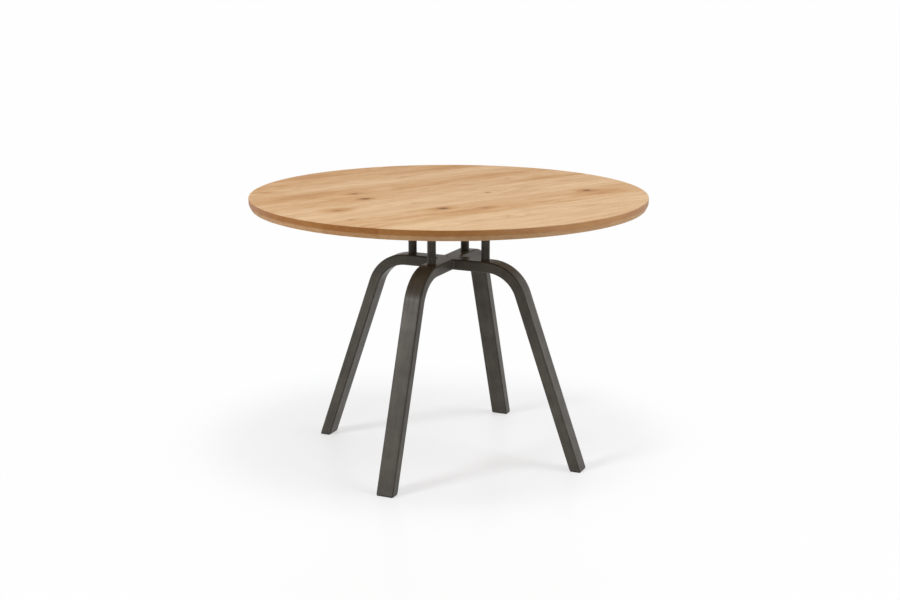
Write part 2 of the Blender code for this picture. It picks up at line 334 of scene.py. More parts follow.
def eased(corners, steps, closed=False):
    """Round each corner of a profile of (radius, height, rounding), with a support point beside each arc."""
    support = 1.7
    points = []
    count = len(corners)
    for index, (r, z, rounding) in enumerate(corners):
        here = Vector((r, z))
        if rounding <= 0 or (not closed and index in (0, count - 1)):
            points.append((r, z))
            continue
        before = Vector(corners[index - 1][:2]) - here
        after = Vector(corners[(index + 1) % count][:2]) - here
        half = before.angle(after) / 2
        reach = rounding / math.tan(half)
        before.normalize()
        after.normalize()
        centre = here + (before + after).normalized() * rounding / math.sin(half)
        start = (here + before * reach - centre).normalized()
        end = (here + after * reach - centre).normalized()
        points.append(tuple(here + before * reach * support))
        for step in range(steps + 1):
            share = step / steps
            points.append(tuple(centre + start.slerp(end, share) * rounding))
        points.append(tuple(here + after * reach * support))
    return points


def fillet_steps(size, steps):
    """The hollow of a fillet from its toe up: how far out and how far up each point lies."""
    angles = [math.pi / 2 * step / steps for step in range(steps + 1)]
    return [(size * (1 - math.sin(angle)), size * (1 - math.cos(angle))) for angle in angles]


def rounded_rectangle(width, depth, corner, steps):
    """Points of a rounded rectangle, each with its nearness to the middle of a corner from 0 to 1."""
    half_w = width / 2 - corner
    half_d = depth / 2 - corner
    corners = ((half_w, half_d, 0.0), (-half_w, half_d, 0.5), (-half_w, -half_d, 1.0), (half_w, -half_d, 1.5))
    support = corner * 0.5
    points = []
    for index, (x, y, turn) in enumerate(corners):
        first = math.pi * turn
        last = first + math.pi / 2
        lead = Vector((-math.sin(first), math.cos(first))) * -support
        tail = Vector((-math.sin(last), math.cos(last))) * support
        points.append((x + corner * math.cos(first) + lead.x, y + corner * math.sin(first) + lead.y, 0.0))
        for step in range(steps + 1):
            angle = first + (last - first) * step / steps
            nearness = math.sin(math.pi * step / steps)
            points.append((x + corner * math.cos(angle), y + corner * math.sin(angle), nearness))
        points.append((x + corner * math.cos(last) + tail.x, y + corner * math.sin(last) + tail.y, 0.0))
        if index == 0:
            points.append((0.0, depth / 2, 0.0))
        if index == 2:
            points.append((0.0, -depth / 2, 0.0))
    return points


def add_object(name, data):
    """A new object at the origin of the scene."""
    made = bpy.data.objects.new(name, data)
    bpy.context.scene.collection.objects.link(made)
    return made


def make_object(name, form, material=None, smooth=SMOOTH_ANGLE):
    """Turn a closed bmesh into a named object at the origin, shaded smooth up to an angle."""
    bmesh.ops.recalc_face_normals(form, faces=form.faces)
    mesh = bpy.data.meshes.new(name)
    form.to_mesh(mesh)
    form.free()
    if material:
        mesh.materials.append(material)
    mesh.shade_smooth()
    mesh.set_sharp_from_angle(angle=smooth)
    return add_object(name, mesh)


def apply_modifiers(piece):
    """Replace the piece's mesh by what its modifiers make of it."""
    bpy.context.view_layer.update()
    seen = piece.evaluated_get(bpy.context.evaluated_depsgraph_get())
    mesh = bpy.data.meshes.new_from_object(seen)
    piece.modifiers.clear()
    old = piece.data
    piece.data = mesh
    bpy.data.meshes.remove(old)
    mesh.name = piece.name


def cut(piece, cutter):
    """Take the cutter's shape out of the piece for good."""
    tool = piece.modifiers.new("cut", "BOOLEAN")
    tool.operation = "DIFFERENCE"
    tool.solver = "EXACT"
    tool.object = cutter
    apply_modifiers(piece)
    piece.data.set_sharp_from_angle(angle=SMOOTH_ANGLE)


def discard(helper):
    """Remove an object that was only needed to make another, with its mesh."""
    mesh = helper.data
    bpy.data.objects.remove(helper)
    bpy.data.meshes.remove(mesh)


def point_values(mesh, name, kind, values):
    """Store one value for each point of a mesh under a name that a material reads."""
    layer = mesh.attributes.new(name, kind, "POINT")
    for item, value in zip(layer.data, values):
        if kind == "FLOAT_VECTOR":
            item.vector = value
        else:
            item.value = value


def settle(piece, slot, *nodes):
    """Let the piece ride on the table's one body in place of its CAD nodes."""
    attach(piece, "root")
    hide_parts(*nodes)


# Material helpers

def add_node(tree, kind, inputs=None, output=0, **settings):
    """Add a node with its settings, link or set its inputs by name or number, and give back one output.

    With output None it gives back the node itself.
    """
    made = tree.nodes.new(kind)
    for key, value in settings.items():
        setattr(made, key, value)
    for key, value in (inputs or {}).items():
        if isinstance(value, bpy.types.NodeSocket):
            tree.links.new(value, made.inputs[key])
        else:
            made.inputs[key].default_value = value
    return made if output is None else made.outputs[output]


def set_ramp(ramp, stops):
    """Give a colour ramp its stops as (place, linear colour) or (place, grey)."""
    elements = ramp.color_ramp.elements
    while len(elements) > 1:
        elements.remove(elements[-1])
    elements[0].position = stops[0][0]
    for index, (place, colour) in enumerate(stops):
        element = elements.new(place) if index else elements[0]
        element.color = (colour, colour, colour, 1.0) if isinstance(colour, float) else (*colour, 1.0)


def new_material(name):
    """An empty material and the function that adds nodes to it."""
    made = bpy.data.materials.new(name)
    made.use_nodes = True
    made.node_tree.nodes.clear()
    return made, partial(add_node, made.node_tree)


def finish(name, make, settings):
    """The material of that name, made on first use."""
    return bpy.data.materials.get(name) or make(settings)


# Materials

def oval(add, place, along, aside, half_long, half_wide):
    """Coordinates in an oval on the boards and the distance from its middle, both 1 at its edge."""
    local = add("ShaderNodeMapping", {
        "Vector": place, "Location": (-along / half_long, -aside / half_wide, 0.0),
        "Scale": (1 / half_long, 1 / half_wide, 0.0)})
    return local, add("ShaderNodeVectorMath", {0: local}, output="Value", operation="LENGTH")


def grain_noise(add, place, board, along, across, detail, output=0):
    """Noise in waves per metre along and across the grain, other on each board."""
    stretched = add("ShaderNodeMapping", {"Vector": place, "Scale": (along, across, across)})
    return add("ShaderNodeTexNoise", {
        "Vector": stretched, "W": board, "Scale": 1.0, "Detail": detail, "Roughness": 0.55},
        output=output, noise_dimensions="4D")


def wavy_grain(add, grain, board):
    """Places along the grain that waver over about 90 mm and 15 mm, so that no knot is a true ellipse."""
    warped = grain
    for along, across, sway in ((11.0, 26.0, (0.020, 0.012, 0.0)), (65.0, 90.0, (0.009, 0.006, 0.0))):
        wave = grain_noise(add, grain, board, along, across, 2.0, "Color")
        shift = add("ShaderNodeVectorMath", {0: wave, 1: (0.5, 0.5, 0.5)}, operation="SUBTRACT")
        warped = add("ShaderNodeVectorMath", {0: shift, 1: sway, 2: warped}, operation="MULTIPLY_ADD")
    return warped


def oak_knots(add, warped, across):
    """Each knot pushes the fibres apart, has a dark ringed core and stains the wood around it.

    Gives the place across the pushed fibres, the cores and the stains.
    """
    stretch = 1.4
    core = 0.0
    stain = 0.0
    nearest = 9.0
    for along, aside, radius, dark, reach in KNOTS:
        local, away = oval(add, warped, along, aside, radius * stretch, radius)
        # The core, the stain and the push each fade in from outside to inside, in radii of the knot
        fades = (
            (1.25, 0.45, dark, "SMOOTHSTEP"), (reach, 0.6, dark, "SMOOTHSTEP"),
            (reach * 1.4, 0.4, radius * -0.85, "SMOOTHERSTEP"))
        inside, around, parting = (
            add("ShaderNodeMapRange", {
                "Value": away, "From Min": outer, "From Max": inner, "To Max": full},
                interpolation_type=fade)
            for outer, inner, full, fade in fades)
        side = add("ShaderNodeSeparateXYZ", {0: local}, output="Y")
        across = add("ShaderNodeMath", {0: side, 1: parting, 2: across}, operation="MULTIPLY_ADD")
        core = add("ShaderNodeMath", {0: core, 1: inside}, operation="MAXIMUM")
        stain = add("ShaderNodeMath", {0: stain, 1: around}, operation="MAXIMUM")
        nearest = add("ShaderNodeMath", {0: nearest, 1: away}, operation="MINIMUM")
    # A knot is a sawn branch, so it has narrow rings of its own, about five in its radius
    branch = add("ShaderNodeMath", {0: nearest, 1: 31.0}, operation="MULTIPLY")
    branch_ring = add("ShaderNodeMath", {0: branch}, operation="SINE")
    ringed = add("ShaderNodeMapRange", {
        "Value": branch_ring, "From Min": -1.0, "To Min": 0.72, "To Max": 1.0})
    return across, add("ShaderNodeMath", {0: core, 1: ringed}, operation="MULTIPLY"), stain


def ring_count(add, oak, place, across, wander):
    """Growth rings from the pith: cylinders round it that wander and taper along the trunk."""
    taper = 0.012
    sway = 0.034
    heart = add("ShaderNodeAttribute", output="Vector", attribute_name="heart")
    point = add("ShaderNodeCombineXYZ", {"Y": across, "Z": place["Z"]})
    radial = add("ShaderNodeVectorMath", {0: point, 1: heart}, operation="SUBTRACT")
    radius = add("ShaderNodeVectorMath", {0: radial}, output="Value", operation="LENGTH")
    tapered = add("ShaderNodeMath", {0: place["X"], 1: taper, 2: radius}, operation="MULTIPLY_ADD")
    grown = add("ShaderNodeMath", {0: wander, 1: sway, 2: tapered}, operation="MULTIPLY_ADD")
    return add("ShaderNodeMath", {0: grown, 1: oak.ring_width}, operation="DIVIDE")


def sawn_rim(add, oak):
    """How far a face belongs to the rim, from none on the flat faces to 1, and the rim's tint."""
    normal = add("ShaderNodeNewGeometry", output="Normal")
    upright = add("ShaderNodeSeparateXYZ", {0: normal}, output="Z")
    tilt = add("ShaderNodeMapRange", {"Value": upright, "From Min": -1.0, "From Max": 1.0})
    rim = add("ShaderNodeValToRGB", {0: tilt}, output=None)
    # The undercut, which faces down, takes only about half the tint: painted light from below
    set_ramp(rim, ((0.04, 0.0), (0.16, 0.45), (0.32, 0.52), (0.47, 1.0), (0.60, 1.0), (0.96, 0.0)))
    # The ends of the fibres drink the oil and go dark, the rim along the fibres less so; its lighter tone
    # along the fibres is in part painted light from the side
    fibre_way = (math.cos(oak.grain_angle), math.sin(oak.grain_angle), 0.0)
    facing = add("ShaderNodeVectorMath", {0: normal, 1: fibre_way}, output="Value", operation="DOT_PRODUCT")
    ends = add("ShaderNodeMath", {0: facing}, operation="ABSOLUTE")
    end_grain_and_painted_light = add("ShaderNodeMapRange", {"Value": ends, "From Min": 0.20, "From Max": 0.60})
    tint = add("ShaderNodeMix", {
        0: end_grain_and_painted_light, 6: (*oak.rim_side_and_painted_light, 1.0), 7: (*oak.rim_end, 1.0)}, output=2, data_type="RGBA")
    return rim.outputs[0], tint


def oiled_oak(oak):
    """Solid knotty oak, planed, sanded and oiled: straw-coloured, soft sheen.

    The eye sees boards of unlike tone, growth rings cut lengthwise into long arches, dark
    pores in fine dashes, brown knots that the fibres part around, and a darker sawn rim,
    where the open ends of the fibres drink the oil. The boards' tones are in part painted shade,
    darker towards the back left, and the rim has painted light on its undercut and along the fibres.
    """
    made, add = new_material("oiled_oak")
    object_place = add("ShaderNodeTexCoord", output="Object")
    grain = add("ShaderNodeMapping", {"Vector": object_place, "Rotation": (0.0, 0.0, -oak.grain_angle)})
    board = add("ShaderNodeAttribute", output="Fac", attribute_name="board")
    warped = wavy_grain(add, grain, board)
    noise = partial(grain_noise, add, warped, board)
    place = add("ShaderNodeSeparateXYZ", {0: warped}, output=None).outputs
    across, core, stain = oak_knots(add, warped, place["Y"])
    # Drying opens dark checks in the knots, about 2 mm wide and 15 mm long
    open_checks = add("ShaderNodeMapRange", {
        "Value": noise(65.0, 480.0, 2.0), "From Min": 0.50, "From Max": 0.60})
    check = add("ShaderNodeMath", {0: open_checks, 1: core}, operation="MULTIPLY")

    # Rings wander over 140 by 380 mm, and some years are darker than others
    wander = grain_noise(add, grain, board, 2.6, 7.0, 1.5)
    count = ring_count(add, oak, place, across, wander)
    phase = add("ShaderNodeMath", {0: count}, operation="FRACT")
    ring_ramp = add("ShaderNodeValToRGB", {0: phase}, output=None)
    set_ramp(ring_ramp, ((0.0, 1.0), (0.22, 0.62), (0.72, 0.08), (0.92, 0.45), (1.0, 1.0)))
    ring = ring_ramp.outputs["Color"]
    slow = add("ShaderNodeMath", {0: count, 1: 0.37}, operation="MULTIPLY")
    years = add("ShaderNodeTexNoise", {"W": slow, "Scale": 1.0, "Detail": 2.0}, noise_dimensions="1D")

    # Streaks 25 mm wide and 250 mm long, clouds 30 by 80 mm, flecks 8 by 60 mm, fibres 0.7 mm wide,
    # pores 0.5 by 10 mm
    band = noise(4.0, 40.0, 3.0)
    cloud = noise(12.0, 33.0, 2.0)
    fleck = noise(16.0, 125.0, 2.0)
    fibre = noise(18.0, 1400.0, 2.0)
    pore_noise = noise(90.0, 1900.0, 1.0)
    pore_cut = add("ShaderNodeMapRange", {"Value": pore_noise, "From Min": 0.56, "From Max": 0.70})
    pore = add("ShaderNodeMath", {0: pore_cut, 1: ring}, operation="MULTIPLY")

    # Share of brown from the board, in part painted shade, and from its layers by their middle value and
    # weight
    brown = add("ShaderNodeAttribute", output="Fac", attribute_name="brown_share")
    layers = (
        (band, 0.5, 0.36), (cloud, 0.5, 0.36), (years, 0.5, 0.26), (ring, 0.5, 0.16), (fleck, 0.5, 0.50),
        (fibre, 0.5, 0.60), (stain, 0.0, 0.36))
    for layer, middle, weight in layers:
        swing = add("ShaderNodeMath", {0: layer, 1: middle}, operation="SUBTRACT")
        brown = add("ShaderNodeMath", {0: swing, 1: weight, 2: brown}, operation="MULTIPLY_ADD")
    for along, aside, half_long, half_wide, strength in STREAKS:
        _, away = oval(add, warped, along, aside, half_long, half_wide)
        soft = add("ShaderNodeMapRange", {
            "Value": away, "From Min": 1.25, "From Max": 0.1, "To Max": strength},
            interpolation_type="SMOOTHSTEP")
        brown = add("ShaderNodeMath", {0: brown, 1: soft}, operation="ADD")
    wood_ramp = add("ShaderNodeValToRGB", {0: brown}, output=None)
    set_ramp(wood_ramp, ((0.0, oak.pale), (0.30, oak.straw), (0.60, oak.tan), (1.0, oak.brown)))
    wood = wood_ramp.outputs[0]
    faint_pore = add("ShaderNodeMath", {0: pore, 1: 0.50}, operation="MULTIPLY")
    for layer, colour in ((faint_pore, oak.pore), (core, oak.knot), (check, oak.check)):
        wood = add("ShaderNodeMix", {0: layer, 6: wood, 7: (*colour, 1.0)}, output=2, data_type="RGBA")
    rim, tint = sawn_rim(add, oak)
    tinted = add("ShaderNodeMix", {
        0: rim, 6: wood, 7: tint}, output=2, data_type="RGBA", blend_type="MULTIPLY")

    rough = add("ShaderNodeMath", {0: pore, 1: fibre}, operation="ADD")
    dull = add("ShaderNodeMapRange", {
        "Value": rough, "From Min": 0.3, "From Max": 1.2, "To Min": 0.60, "To Max": 0.78})
    # The rim, turned and sanded to a finer grit, takes more of a sheen
    sanded = add("ShaderNodeMix", {0: rim, 2: dull, 3: 0.40}, data_type="FLOAT")
    raised = add("ShaderNodeMath", {0: fibre, 1: 0.4}, operation="MULTIPLY")
    relief = add("ShaderNodeMath", {0: pore, 1: -1.0, 2: raised}, operation="MULTIPLY_ADD")
    bump = add("ShaderNodeBump", {"Strength": 0.5, "Distance": 0.00025, "Height": relief})
    shader = add("ShaderNodeBsdfPrincipled", {
        "Base Color": tinted, "Roughness": sanded, "Normal": bump, "IOR": 1.47, "Specular IOR Level": 0.25})
    add("ShaderNodeOutputMaterial", {"Surface": shader}, output=None)
    return made


def mica_coat(base):
    """Steel tube under a baked powder coat with mica: dark warm grey, satin, finely gritty.

    The eye sees soft reflections broken by the grit, faint clouds in the colour and the long
    lines of the drawn tube; the darker tube corners and posts are painted shade.
    """
    made, add = new_material("mica_powder_coat")
    place = add("ShaderNodeTexCoord", output="Object")
    # Clouds about 40 mm across
    cloud = add("ShaderNodeTexNoise", {"Vector": place, "Scale": 25.0, "Detail": 3.0})
    # Grit is about 0.3 mm on the real coat; drawn at 0.9 mm so that it shows
    grit = add("ShaderNodeTexNoise", {"Vector": place, "Scale": 1100.0, "Detail": 2.0})
    # Lines left by drawing the tube, 4 mm wide and 150 mm long, that show through the coat
    run = add("ShaderNodeAttribute", output="Vector", attribute_name="run")
    drawn = add("ShaderNodeMapping", {"Vector": run, "Scale": (250.0, 250.0, 6.5)})
    line = add("ShaderNodeTexNoise", {"Vector": drawn, "Scale": 1.0, "Detail": 3.0})
    mixed = cloud
    for layer, weight in ((grit, 0.45), (line, 0.90)):
        mixed = add("ShaderNodeMath", {0: layer, 1: weight, 2: mixed}, operation="MULTIPLY_ADD")
    even = add("ShaderNodeMapRange", {"Value": mixed, "From Min": 0.85, "From Max": 1.50})
    coat = add("ShaderNodeMix", {
        0: even, 6: (*base.coat_shade, 1.0), 7: (*base.coat, 1.0)}, output=2, data_type="RGBA")
    # Painted shade on the tube corners and on the posts, patchy over 10 to 20 mm
    corner = add("ShaderNodeAttribute", output="Fac", attribute_name="corner")
    painted_shade_level = add("ShaderNodeTexNoise", {"Vector": place, "Scale": 70.0, "Detail": 3.0})
    patchy = add("ShaderNodeMapRange", {
        "Value": painted_shade_level, "From Min": 0.30, "From Max": 0.70, "To Min": 0.25, "To Max": 0.70})
    painted_shade = add("ShaderNodeMath", {0: patchy, 1: corner}, operation="MULTIPLY")
    colour = add("ShaderNodeMix", {0: painted_shade, 6: coat, 7: (*base.coat_painted_shade, 1.0)}, output=2, data_type="RGBA")
    dull = add("ShaderNodeMapRange", {"Value": even, "To Min": 0.41, "To Max": 0.31})
    bump = add("ShaderNodeBump", {"Strength": 0.15, "Distance": 0.0002, "Height": grit})
    shader = add("ShaderNodeBsdfPrincipled", {
        "Base Color": colour, "Roughness": dull, "Normal": bump, "IOR": 1.50, "Specular IOR Level": 0.17})
    add("ShaderNodeOutputMaterial", {"Surface": shader}, output=None)
    return made


def bare_metal(name, colour, shade, waves, detail, smoothest, dullest):
    """A metal whose colour and shine vary with one pattern, given in waves per metre."""
    made, add = new_material(name)
    place = add("ShaderNodeTexCoord", output="Object")
    stretched = add("ShaderNodeMapping", {"Vector": place, "Scale": waves})
    pattern = add("ShaderNodeTexNoise", {"Vector": stretched, "Scale": 1.0, "Detail": detail})
    dark = tuple(part * shade for part in colour)
    mixed = add("ShaderNodeMix", {
        0: pattern, 6: (*dark, 1.0), 7: (*colour, 1.0)}, output=2, data_type="RGBA")
    dull = add("ShaderNodeMapRange", {"Value": pattern, "To Min": smoothest, "To Max": dullest})
    shader = add("ShaderNodeBsdfPrincipled", {"Base Color": mixed, "Roughness": dull, "Metallic": 1.0})
    add("ShaderNodeOutputMaterial", {"Surface": shader}, output=None)
    return made


def zinc_plate(hardware):
    """Cold-formed steel with bright zinc plating: pale bluish grey, soft shine, clouds about 4 mm across."""
    return bare_metal(
        "zinc_plated_steel", hardware.zinc, shade=0.72, waves=(250.0, 250.0, 250.0), detail=3.0,
        smoothest=0.26, dullest=0.44)


def turned_brass(hardware):
    """Free-cutting brass straight from the lathe: warm yellow, turning lines 0.25 mm apart."""
    return bare_metal(
        "turned_brass", hardware.brass, shade=0.70, waves=(60.0, 60.0, 4000.0), detail=1.0,
        smoothest=0.25, dullest=0.42)


def moulded_polyethylene(hardware):
    """Injection-moulded polyethylene: near black, waxy, with a fine spark-eroded texture."""
    made, add = new_material("moulded_polyethylene")
    place = add("ShaderNodeTexCoord", output="Object")
    # Mould texture 0.4 mm across, scuffs about 8 mm across
    grain = add("ShaderNodeTexNoise", {"Vector": place, "Scale": 2500.0, "Detail": 2.0})
    scuff = add("ShaderNodeTexNoise", {"Vector": place, "Scale": 120.0, "Detail": 4.0})
    pale = tuple(part * 2.2 for part in hardware.glide)
    worn = add("ShaderNodeMapRange", {"Value": scuff, "From Min": 0.45, "From Max": 0.8})
    colour = add("ShaderNodeMix", {
        0: worn, 6: (*hardware.glide, 1.0), 7: (*pale, 1.0)}, output=2, data_type="RGBA")
    dull = add("ShaderNodeMapRange", {"Value": scuff, "To Min": 0.45, "To Max": 0.65})
    bump = add("ShaderNodeBump", {"Strength": 0.4, "Distance": 0.0001, "Height": grain})
    shader = add("ShaderNodeBsdfPrincipled", {
        "Base Color": colour, "Roughness": dull, "Normal": bump, "IOR": 1.51})
    add("ShaderNodeOutputMaterial", {"Surface": shader}, output=None)
    return made


def seen_ray(add):
    """1 for light that goes to the eye straight, by a reflection or through something, 0 for other light."""
    path = add("ShaderNodeLightPath", output=None).outputs
    seen = path["Is Camera Ray"]
    for kind in ("Is Glossy Ray", "Is Transmission Ray"):
        seen = add("ShaderNodeMath", {0: seen, 1: path[kind]}, operation="MAXIMUM")
    return seen


def floor_paint(stage):
    """White floor paint with a faint satin sheen.

    What the eye sees is near white and keeps a share of the shadow; what lights the table is duller.
    """
    made, add = new_material("matt_floor_paint")
    matt = add("ShaderNodeBsdfDiffuse", {"Color": (*stage.floor, 1.0)})
    white = add("ShaderNodeEmission", {"Color": (1.0, 1.0, 1.0, 1.0), "Strength": 1.0})
    place = add("ShaderNodeTexCoord", output="Object")
    away = add("ShaderNodeVectorMath", {0: place, 1: SHADOW_CENTRE}, output="Value", operation="DISTANCE")
    # The whole shadow shows over six tenths of its reach and then fades
    near = add("ShaderNodeMapRange", {
        "Value": away, "From Min": stage.shadow_reach, "From Max": 0.6 * stage.shadow_reach,
        "To Max": stage.shadow}, interpolation_type="SMOOTHSTEP")
    flat = add("ShaderNodeMixShader", {0: near, 1: white, 2: matt})
    sheen = add("ShaderNodeBsdfGlossy", {"Roughness": 0.32})
    shown = add("ShaderNodeMixShader", {0: stage.floor_sheen, 1: flat, 2: sheen})
    dim = add("ShaderNodeBsdfDiffuse", {"Color": (*[stage.floor_bounce] * 3, 1.0)})
    both = add("ShaderNodeMixShader", {0: seen_ray(add), 1: dim, 2: shown})
    add("ShaderNodeOutputMaterial", {"Surface": both}, output=None)
    return made


# Shapes of the pieces

def span(node, direction):
    """Lowest and highest reach of a CAD node along a direction."""
    reaches = [vertex.co.dot(direction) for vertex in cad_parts[node].data.vertices]
    return min(reaches), max(reaches)


def glue_lines(direction):
    """Across the grain, halfway between each two neighbouring CAD staves."""
    spans = [span(f"top_stave_{number}", direction) for number in range(1, STAVE_COUNT + 1)]
    return [(before[1] + after[0]) / 2 for before, after in zip(spans, spans[1:])]


def round_blank(oak):
    """The whole round top, from its flat upper face over the rim to the underside."""
    rim_band = 0.02
    inner = TOP_RADIUS - rim_band
    corners = [
        (inner, TABLE_TOP, 0.0), (TOP_RADIUS, TABLE_TOP, oak.eased_edge),
        (TOP_RADIUS, TOP_UNDERSIDE + oak.bevel_height, oak.knuckle),
        (TOP_RADIUS - oak.bevel_inset, TOP_UNDERSIDE, oak.arris), (inner, TOP_UNDERSIDE, 0.0)]
    return turned(eased(corners, steps=5), sides=360)


def saw(form, direction, offset, side):
    """Saw the form across a direction and keep what lies beyond the offset on that side."""
    sawn = bmesh.ops.bisect_plane(
        form, geom=form.verts[:] + form.edges[:] + form.faces[:], plane_co=direction * offset,
        plane_no=direction * side, clear_inner=True)
    edges = [item for item in sawn["geom_cut"] if isinstance(item, bmesh.types.BMEdge)]
    bmesh.ops.contextual_create(form, geom=edges)


def fastener_places():
    """Where the eight fasteners stand, two on each side of the plate."""
    places = []
    for angle in SIDES.values():
        for sign in (-1, 1):
            place = Vector((SCREW_REACH, sign * SCREW_SPREAD / 2, 0.0))
            place.rotate(Matrix.Rotation(angle, 3, "Z"))
            places.append(place)
    return places


def column_cutter(name, radius, bottom, top):
    """Upright round cutters at every fastener."""
    form = bmesh.new()
    for place in fastener_places():
        skin(form, [add_ring(form, circle(radius, z, sides=32, centre=place)) for z in (bottom, top)])
    return make_object(name, form)


def bend_start(base):
    """From the axis to where a leg begins to bend."""
    return POST_REACH + POST_RADIUS + base.bend_margin


def bend_point(base, across, outward, turn):
    """A point of the tube's section after the bend has turned by an angle, on the leg along +X."""
    radius = base.bend_radius + outward
    height = CROSS_TOP - base.tube_depth / 2 - base.bend_radius
    return Vector((bend_start(base) + radius * math.sin(turn), across, height + radius * math.cos(turn)))


def foot_point(base, across, outward, height):
    """A point of the section carried down the straight leg to a level cut."""
    start = bend_point(base, across, outward, math.pi / 2 - base.lean)
    return Vector((start.x + (start.z - height) * math.tan(base.lean), across, height))


def tube_outline(base, inset):
    """Section of the tube, drawn in from its outside by an inset."""
    least_corner = 0.0005
    corner = max(base.corner - inset, least_corner)
    return rounded_rectangle(TUBE_WIDTH - 2 * inset, base.tube_depth - 2 * inset, corner, steps=8)


def leg_rings(form, base, inset, nearness, run):
    """Rings along the tube, from the mitred tip round the bend to the foot.

    Notes how near each point is to a corner, and its place across, out of and along the tube.
    """
    bend_steps = 44
    outline = tube_outline(base, inset)
    middle = CROSS_TOP - base.tube_depth / 2
    turn = math.pi / 2 - base.lean
    rings = [[Vector((abs(a), a, middle + o)) for a, o, _ in outline]]
    # One ring behind the mitre, one just before the bend
    for reach in (TUBE_WIDTH * 0.75, bend_start(base) - 0.002):
        rings.append([Vector((reach, a, middle + o)) for a, o, _ in outline])
    for step in range(bend_steps + 1):
        rings.append([bend_point(base, a, o, turn * step / bend_steps) for a, o, _ in outline])
    # Two rings down the straight leg, one just above the cut and the cut itself
    for height in (0.30, 0.15, FOOT + 0.004, FOOT):
        rings.append([foot_point(base, a, o, height) for a, o, _ in outline])
    length = 0.0
    last = rings[0][0]
    for ring in rings:
        length += (ring[0] - last).length
        last = ring[0]
        nearness.extend(near if inset == 0 else 0.0 for _, _, near in outline)
        run.extend((a, o, length) for a, o, _ in outline)
    return [add_ring(form, ring) for ring in rings]


def weld_bead(form, corner_angle, base):
    """A hollow-faced fillet weld, finely rippled, down the inner corner between two arms of the cross."""
    steps = 40
    parts = 10
    ripples = 12
    ripple_height = 0.04
    end_size = 0.45
    growth = 5.0
    toe = 0.9
    direction = Vector((math.cos(corner_angle), math.sin(corner_angle), 0.0))
    side = Vector((-direction.y, direction.x, 0.0))
    one = (direction + side) / math.sqrt(2)
    other = (direction - side) / math.sqrt(2)
    root = direction * (TUBE_WIDTH / 2 * math.sqrt(2) - base.weld_sink)
    # The bead stops short of the tubes' rounded corners
    bottom = CROSS_TOP - base.tube_depth + base.corner * 0.6
    top = CROSS_TOP - base.corner * 0.35
    rings = []
    for step in range(steps + 1):
        share = step / steps
        swell = min(1.0, end_size + growth * min(share, 1 - share))
        ripple = 1.0 + ripple_height * math.cos(2 * math.pi * share * ripples)
        size = base.corner_weld * swell * ripple
        ring = []
        for part in range(parts + 1):
            angle = math.pi / 2 * part / parts
            hollow = other * (1 - math.cos(angle)) + one * (1 - math.sin(angle))
            ring.append(root + hollow * size)
        ring.append(root + other * size * toe - one * base.weld_sink)
        ring.append(root - direction * 2 * base.weld_sink)
        ring.append(root + one * size * toe - other * base.weld_sink)
        height = bottom + (top - bottom) * share
        rings.append(add_ring(form, [Vector((p.x, p.y, height)) for p in ring]))
    skin(form, rings)


def welded_post(base):
    """A post tube with a small rippled fillet weld at its foot and at its head."""
    sides = 72
    ripples = 18
    ripple_height = 0.10
    bottom = CROSS_TOP
    top = PLATE_LOW.z
    bore = POST_RADIUS - base.post_wall
    support = base.weld * 1.5
    fillet = fillet_steps(base.weld, 6)
    profile = [(POST_RADIUS + out, bottom + up, out) for out, up in fillet]
    profile += [(POST_RADIUS, bottom + support, 0.0), (POST_RADIUS, top - support, 0.0)]
    profile += [(POST_RADIUS + out, top - up, out) for out, up in reversed(fillet)]
    profile += [(bore, top, 0.0), (bore, bottom, 0.0)]
    form = bmesh.new()
    rings = []
    for radius, z, weld in profile:
        reaches = [radius + ripple_height * weld * math.cos(ripples * angle) for angle in turns(sides)]
        rings.append(add_ring(form, level_ring(reaches, z, (POST_REACH, 0.0))))
    skin(form, rings, closed=True)
    return form


def button_screw(hardware):
    """A button-head screw with a hex socket, seat at the origin and head pointing down."""
    sides = 48
    dome_steps = 8
    edge = 0.0003
    # Shares of the head's height: its upright edge, and where the dome begins
    upright = 0.22
    dome_start = 0.30
    half = (SCREW_HIGH.x - SCREW_LOW.x) / 2
    length = SCREW_HIGH.z - WASHER_LOW.z
    head = WASHER_LOW.z - SCREW_LOW.z
    shank = hardware.shank / 2
    crown = hardware.head_flat / 2
    profile = eased([
        (shank * 0.6, length, 0.0), (shank * 0.8, length, 0.0), (shank, length - 2 * edge, 0.0),
        (shank, 0.0, 0.0), (half, 0.0, edge), (half, -head * upright, edge)], steps=3)
    rings = [circle(radius, z, sides) for radius, z in profile]
    for step in range(1, dome_steps + 1):
        angle = math.pi / 2 * step / dome_steps
        radius = crown + (half - crown) * math.cos(angle)
        depth = dome_start + (1 - dome_start) * math.sin(angle)
        rings.append(circle(radius, -head * depth, sides))
    # The socket is widened at its mouth, and has points between its corners to meet the round crown
    for grow, depth in ((1.10, 0.0), (1.0, edge), (1.0, hardware.socket_depth)):
        half_flats = grow * hardware.socket / 2
        reaches = [half_flats / math.cos(angle % (math.pi / 3) - math.pi / 6) for angle in turns(sides)]
        rings.append(level_ring(reaches, -head + depth))
    form = bmesh.new()
    skin(form, [add_ring(form, ring) for ring in rings])
    return form


def plain_washer(hardware):
    """A stamped washer with one edge rolled by the punch, its lower face at the origin."""
    rolled = 0.0004
    crisp = 0.0001
    inner_roll = 0.0003
    half = (WASHER_HIGH.x - WASHER_LOW.x) / 2
    thick = PLATE_LOW.z - WASHER_LOW.z
    bore = hardware.shank / 2 + CLEARANCE
    corners = [(half, 0.0, rolled), (half, thick, crisp), (bore, thick, crisp), (bore, 0.0, inner_roll)]
    return turned(eased(corners, steps=3, closed=True), sides=48, bored=True)


